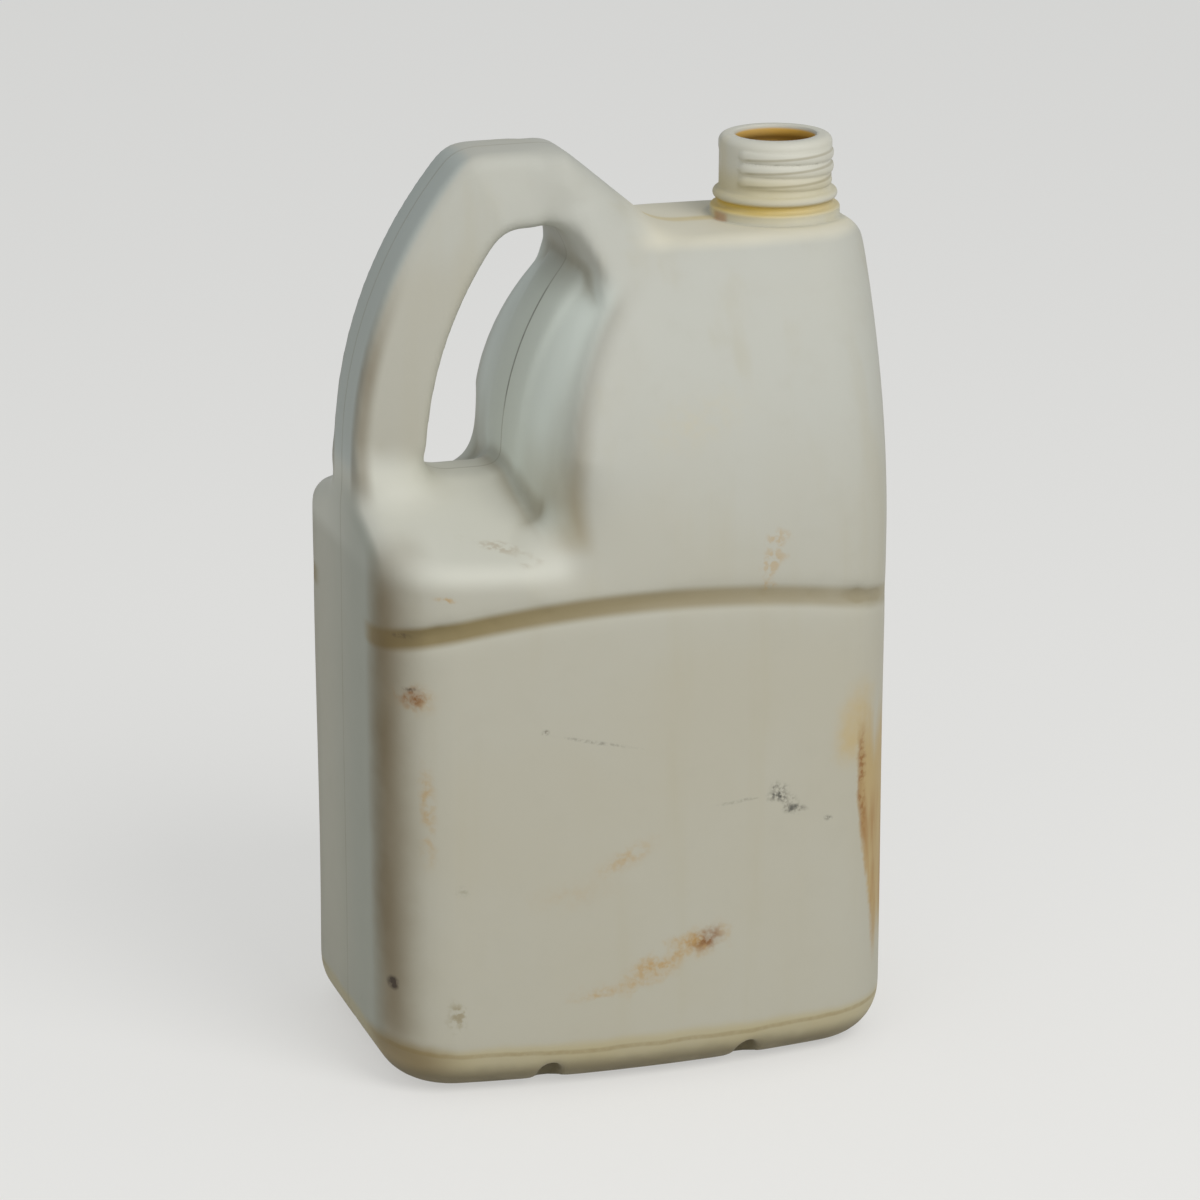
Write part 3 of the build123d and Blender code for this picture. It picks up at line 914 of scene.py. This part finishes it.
def add_marks(paint, colour):
    """Rust, orange bloom, scuffs and spots where the near side shows them."""
    ragged, blur, grain, speck, whole = paint.ragged, paint.blur, paint.grain, paint.speck, paint.near
    # x, z, half width, half height, turn, raggedness, strength, pattern, colour
    marks = (
        (-75, 133, 8, 7, 0, 0.8, 0.5, ragged, OCHRE),
        (-76, 133.5, 6, 5.5, 0, 0.7, 0.95, ragged, RUST),
        (-77, 136, 4, 1.2, 0, 0.5, 0.7, speck, BROWN),
        (13, 45.5, 14, 7.5, 18, 0.8, 0.7, blur, OCHRE),
        (17, 47, 8.5, 5.6, 22, 0.8, 0.95, ragged, RUST),
        (-2, 38, 25, 7, 13, 1.0, 0.6, blur, OCHRE),
        (-19, 32.5, 14, 2.6, 8, 1.0, 0.6, ragged, OCHRE),
        (-10, 77, 16, 5, 26, 1.1, 0.45, ragged, OCHRE),
        (-28, 66, 22, 7, 6, 1.2, 0.14, ragged, OCHRE),
        (38, 171, 4.5, 12, -16, 1.2, 0.32, grain, OCHRE),
        (35, 161.5, 7, 2.2, 0, 1.0, 0.35, grain, OCHRE),
        (-72.5, 99, 3.6, 18, 2, 1.0, 0.55, ragged, OCHRE),
        (-72, 84, 3.5, 9, 0, 1.0, 0.35, ragged, OCHRE),
        (-66, 165.5, 6, 1.6, -8, 0.9, 0.5, grain, OCHRE),
        (-78.5, 152.5, 3.0, 1.4, 0, 0.6, 0.85, speck, BROWN),
        (42.5, 91.5, 8.5, 4.6, -24, 1.0, 0.8, speck, SOOT),
        (46, 87, 7.0, 2.2, -10, 0.9, 0.7, grain, SOOT),
        (30, 92, 12, 0.8, 4, 0.9, 0.3, speck, SOOT),
        (59, 82, 2.4, 1.4, -20, 0.8, 0.8, speck, SOOT),
        (-81.5, 37, 1.7, 3.2, 0, 0.15, 1.4, whole, BROWN),
        (-64, 28, 4.2, 6, 12, 0.9, 0.5, grain, MOSS),
        (-62, 70, 3, 3, 0, 1.0, 0.3, speck, GREY_SPOT),
        (-20, 116.5, 18, 0.9, -13, 0.5, 0.35, speck, SOOT),
        (-36, 121, 1.6, 1.2, 0, 0.4, 0.6, speck, BROWN),
        (15, 215, 26, 12, 20, 1.3, 0.16, ragged, PALE_STAIN),
        (-47, 178, 12, 1.5, -9, 0.9, 0.3, grain, FLOOR_SCUFF),
        (-39, 174.5, 6, 1.6, 4, 0.9, 0.35, ragged, FLOOR_STAIN),
    )
    broken = 0.45 + 0.75 * grain.step(0.36, 0.62)
    for x, z, half_width, half_height, turn, edge, strength, pattern, tone in marks:
        mask = paint.spot(x, z, half_width, half_height, turn, edge)
        colour = paint.tint(colour, mask * pattern.step(0.36, 0.6) * broken * strength, tone)
    return colour


def run_rust(paint, colour):
    """Rust water that ran down the upright edge below the neck, densest along its left border."""
    z, flow = paint.z, paint.flow
    bloom = paint.spot(68.5, 112, 10, 19, -8, 0.4)
    colour = paint.tint(colour, bloom * (0.1 + 0.7 * paint.fine), RUST_BLOOM)
    border = (69.8 + z.step(92, 30) * 7.2).shaken(paint.ragged, 2.0).shaken(paint.grain, 2.2)
    past = paint.x - border
    round_corner = paint.y.shaken(paint.blur, 14).shaken(flow, 22)
    wet = past.step(-1.2, 1.6) * round_corner.step(-24, -46) * z.shaken(flow, 26).band(26, 50, 98, 120)
    colour = paint.tint(colour, wet * (0.55 + 0.35 * paint.blur), RUST_WATER)
    dense = past.band(-0.8, 0.8, 1.2, 3.8) * z.band(66, 84, 100, 114)
    dense = dense * paint.near * (0.35 + 0.5 * paint.grain.step(0.4, 0.6))
    colour = paint.tint(colour, dense, DENSE_RUST)
    low = wet * z.step(92, 74) * flow.step(0.4, 0.62)
    return paint.tint(colour, low * 0.6, RUST_STREAK)


def jug_plastic():
    """Aged polyethylene: chalky and mottled, dirty and with painted shade in its hollows, with painted
    light on some faces, rust-stained and scuffed.
    """
    material = bpy.data.materials.new("aged_plastic")
    material.use_nodes = True
    material.node_tree.nodes.clear()
    paint = Surface(material.node_tree)
    seam = abs(paint.y).step(0.7, 0.2)
    colour = tint_handle_end(paint, worn_plastic(paint))
    colour = add_base_dirt_and_shade(paint, add_hollow_dirt_and_shade(paint, colour))
    colour = add_edge_dirt_and_shade(paint, colour)
    colour = add_parting_line(paint, colour, seam)
    colour = stain_and_light_neck(paint, colour)
    colour = run_rust(paint, add_marks(paint, colour))
    height = paint.grain * 0.2 + paint.fine * 0.6 + seam * 0.8
    bump = {"Strength": 0.3, "Distance": 0.3 * MM, "Height": height}
    inputs = {
        "Base Color": colour,
        "Roughness": 0.5 + 0.14 * paint.cloud + 0.1 * paint.fine,
        "Normal": paint.start.node("ShaderNodeBump", None, bump),
        "IOR": 1.5,
    }
    shader = paint.start.node("ShaderNodeBsdfPrincipled", None, inputs, "BSDF")
    paint.start.node("ShaderNodeOutputMaterial", None, {"Surface": shader})
    return material


def floor_material():
    """Pale matte floor that reads a little brighter to the camera alone."""
    material = bpy.data.materials.new("pale_floor")
    material.use_nodes = True
    material.node_tree.nodes.clear()
    start = Field(material.node_tree)
    matte = {"Base Color": linear(232, 230, 226), "Roughness": 0.95}
    matte = start.node("ShaderNodeBsdfPrincipled", None, matte, "BSDF")
    glow = start.node("ShaderNodeEmission", None, {"Color": linear(240, 239, 236), "Strength": 1.0})
    seen = start.node("ShaderNodeLightPath", None, None, "Is Camera Ray")
    for kind in ("Is Glossy Ray", "Is Transmission Ray"):
        seen = start.math("MAXIMUM", seen, start.node("ShaderNodeLightPath", None, None, kind))
    shader = start.node("ShaderNodeMixShader", None, {0: seen * FLOOR_GLOW, 1: matte, 2: glow})
    start.node("ShaderNodeOutputMaterial", None, {"Surface": shader})
    return material


def studio():
    """Pale floor, soft lamps and an even, slightly cool sky."""
    work = bmesh.new()
    bmesh.ops.create_grid(work, x_segments=1, y_segments=1, size=FLOOR_SIZE)
    floor = make_object("floor", mesh_from(work, "floor"))
    floor.data.materials.append(floor_material())
    world = bpy.data.worlds.new("studio")
    bpy.context.scene.world = world
    world.use_nodes = True
    sky = world.node_tree.nodes["Background"]
    sky.inputs["Color"].default_value = SKY_COLOUR
    sky.inputs["Strength"].default_value = SKY_STRENGTH
    add_lamp("key", (0.55, -1.3, 1.5), 1.2, 20)
    add_lamp("fill", (-1.0, -1.2, 1.0), 1.4, 4)


def add_lamp(name, place, size, power):
    """Round soft lamp that faces the jug."""
    lamp = bpy.data.lights.new(name, "AREA")
    lamp.shape = "DISK"
    lamp.size = size
    lamp.energy = power
    made = bpy.data.objects.new(name, lamp)
    made.location = place
    towards = Vector(LAMP_TARGET) - Vector(place)
    made.rotation_euler = towards.to_track_quat("-Z", "Y").to_euler()
    bpy.context.scene.collection.objects.link(made)


def photo_camera():
    """Camera at the photograph's place: turned to the handle's end and looking a little down."""
    turn, tilt = radians(CAMERA_TURN), radians(CAMERA_TILT)
    right = Vector((cos(turn), -sin(turn), 0))
    up = Vector((sin(turn) * sin(tilt), cos(turn) * sin(tilt), cos(tilt)))
    back = Vector((-sin(turn) * cos(tilt), -cos(turn) * cos(tilt), sin(tilt)))
    target = right * TARGET_ACROSS + up * TARGET_UP
    lens = bpy.data.cameras.new("camera")
    lens.sensor_width = CAMERA_SENSOR
    lens.sensor_fit = "HORIZONTAL"
    lens.lens = CAMERA_LENS
    camera = bpy.data.objects.new("camera", lens)
    place = target + back * CAMERA_DISTANCE
    turned = Matrix((right, up, back)).transposed().to_4x4()
    camera.matrix_world = Matrix.Translation(place) @ turned
    bpy.context.scene.collection.objects.link(camera)
    bpy.context.scene.camera = camera


bpy.context.scene.view_settings.view_transform = "Standard"
jug = build_jug(jug_plastic())
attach(jug, "root")
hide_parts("jug")
studio()
photo_camera()
